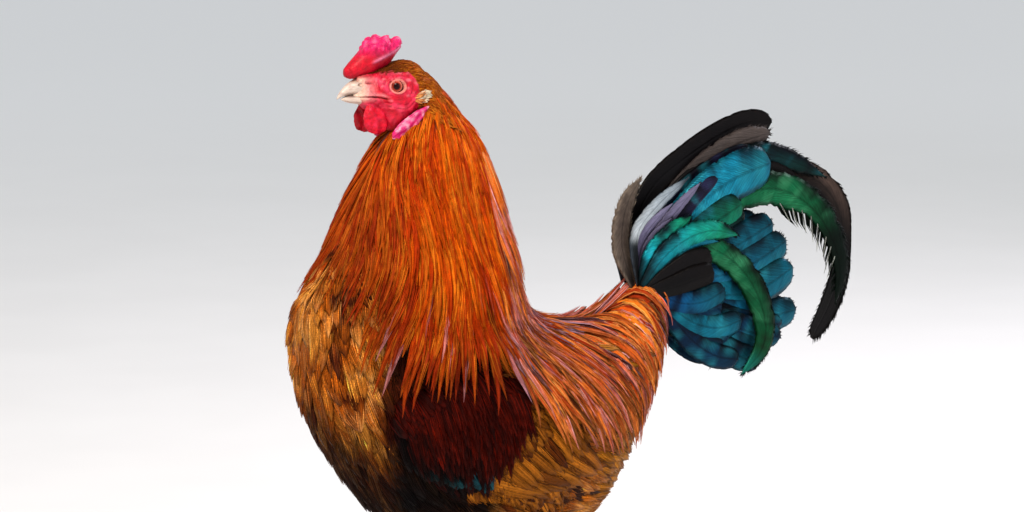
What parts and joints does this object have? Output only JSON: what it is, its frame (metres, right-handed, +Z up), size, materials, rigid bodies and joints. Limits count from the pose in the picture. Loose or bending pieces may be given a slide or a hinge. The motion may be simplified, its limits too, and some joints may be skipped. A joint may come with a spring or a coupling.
{
  "type": "rooster figure",
  "caption": "Life-size model of a standing rooster with a full neck cape, folded wings and a high tail of curved sickle feathers.",
  "frame": {"origin": "on the floor under the middle of the bird's bounding box", "axes": "+Z up, -Y the way the bird faces, +X to the bird's left"},
  "size_m": [0.2269, 0.5826, 0.6405],
  "materials": {
    "hackle": "glossy orange-gold to mahogany neck feathers",
    "body": "golden-brown to dark mahogany body feathers",
    "wing": "dark mahogany wing feathers with a black bar",
    "tail": "black tail feathers with a green and blue sheen",
    "skin": "bare red face skin, fine-grained",
    "comb": "crimson fleshy comb and wattles, slightly moist",
    "lobe": "pink fleshy earlobe",
    "horn": "pale horn, satin",
    "scale": "yellow scaled skin",
    "claw": "horn, satin",
    "eye": "wet and glossy"
  },
  "bodies": {
    "root": {"neck": "hackle", "torso": "body", "saddle": "hackle", "tail": "tail", "head": "skin", "comb": "comb", "beak_upper": "horn", "beak_lower": "horn", "wing_left": "wing", "sickle_left": "tail", "eye_left": "eye", "wattle_left": "comb", "earlobe_left": "lobe", "thigh_left": "body", "shank_left": "scale", "spur_left": "claw", "toe_left_inner": "scale", "claw_left_inner": "claw", "toe_left_middle": "scale", "claw_left_middle": "claw", "toe_left_outer": "scale", "claw_left_outer": "claw", "toe_left_hind": "scale", "claw_left_hind": "claw", "wing_right": "wing", "sickle_right": "tail", "eye_right": "eye", "wattle_right": "comb", "earlobe_right": "lobe", "thigh_right": "body", "shank_right": "scale", "spur_right": "claw", "toe_right_inner": "scale", "claw_right_inner": "claw", "toe_right_middle": "scale", "claw_right_middle": "claw", "toe_right_outer": "scale", "claw_right_outer": "claw", "toe_right_hind": "scale", "claw_right_hind": "claw"}
  },
  "joints": []
}
